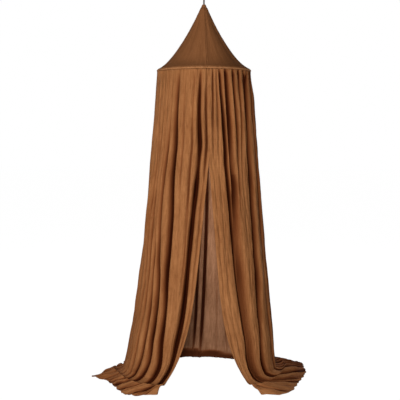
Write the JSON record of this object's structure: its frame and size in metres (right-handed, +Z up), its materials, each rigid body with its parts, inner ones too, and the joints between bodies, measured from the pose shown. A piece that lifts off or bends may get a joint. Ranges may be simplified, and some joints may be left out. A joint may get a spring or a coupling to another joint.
{
  "type": "bed crown canopy",
  "caption": "Hanging fabric bed canopy: a cone crown on a hoop, hung by a cord from a ceiling hook, with gathered curtains that pool on the floor and part at the front.",
  "frame": {"origin": "centre of the ceiling plate's upper face", "axes": "+Z up, -Y towards the front opening, +X to the right seen from the front"},
  "size_m": [1.1846, 0.802, 2.1428],
  "materials": {
    "steel": "satin",
    "washer_steel": "zinc plated",
    "hoop_plastic": "matte",
    "pin_metal": "drawn",
    "cord_fabric": "braided cotton",
    "crown_fabric": "plain woven muslin, two layers",
    "curtain_fabric": "plain woven muslin, crinkled"
  },
  "bodies": {
    "ceiling_mount": {"ceiling_plate": "steel", "hook_collar": "steel", "ceiling_hook": "steel"},
    "ring": {"hanging_ring": "steel"},
    "cord": {"hanging_cord": "cord_fabric", "apex_knot": "cord_fabric"},
    "canopy": {"apex_binding": "crown_fabric", "apex_washer": "washer_steel", "crown_gore_front_right": "crown_fabric", "crown_gore_back_right": "crown_fabric", "crown_gore_back_left": "crown_fabric", "crown_gore_front_left": "crown_fabric", "hoop_half_front": "hoop_plastic", "hoop_half_back": "hoop_plastic", "hoop_joint_pin_left": "pin_metal", "hoop_joint_pin_right": "pin_metal", "hoop_casing": "crown_fabric", "curtain_top_front_left": "curtain_fabric", "curtain_top_front_right": "curtain_fabric", "curtain_back": "curtain_fabric"},
    "left_curtain": {"curtain_front_left": "curtain_fabric"},
    "right_curtain": {"curtain_front_right": "curtain_fabric"}
  },
  "joints": [
    {"name": "ring_swing", "type": "hinge", "parent": "ceiling_mount", "child": "ring", "pos_m": [0, 0, -0.0406], "axis": [1, 0, 0], "range_deg": [-2, 2]},
    {"name": "cord_sway", "type": "hinge", "parent": "ring", "child": "cord", "pos_m": [0, 0, -0.0618], "axis": [0, 1, 0], "range_deg": [-2, 2]},
    {"name": "canopy_turn", "type": "hinge", "parent": "cord", "child": "canopy", "pos_m": [0, 0, -0.1668], "axis": [0, 0, 1], "range_deg": [-180, 180]},
    {"name": "left_curtain_draw", "type": "hinge", "parent": "canopy", "child": "left_curtain", "pos_m": [-0.21044, 0.1215, -0.4928], "axis": [-0.098, 0.0109, -0.9951], "range_deg": [0, 25]},
    {"name": "right_curtain_draw", "type": "hinge", "parent": "canopy", "child": "right_curtain", "pos_m": [0.21044, 0.1215, -0.4928], "axis": [-0.0861, -0.0109, 0.9962], "range_deg": [0, 25]}
  ]
}
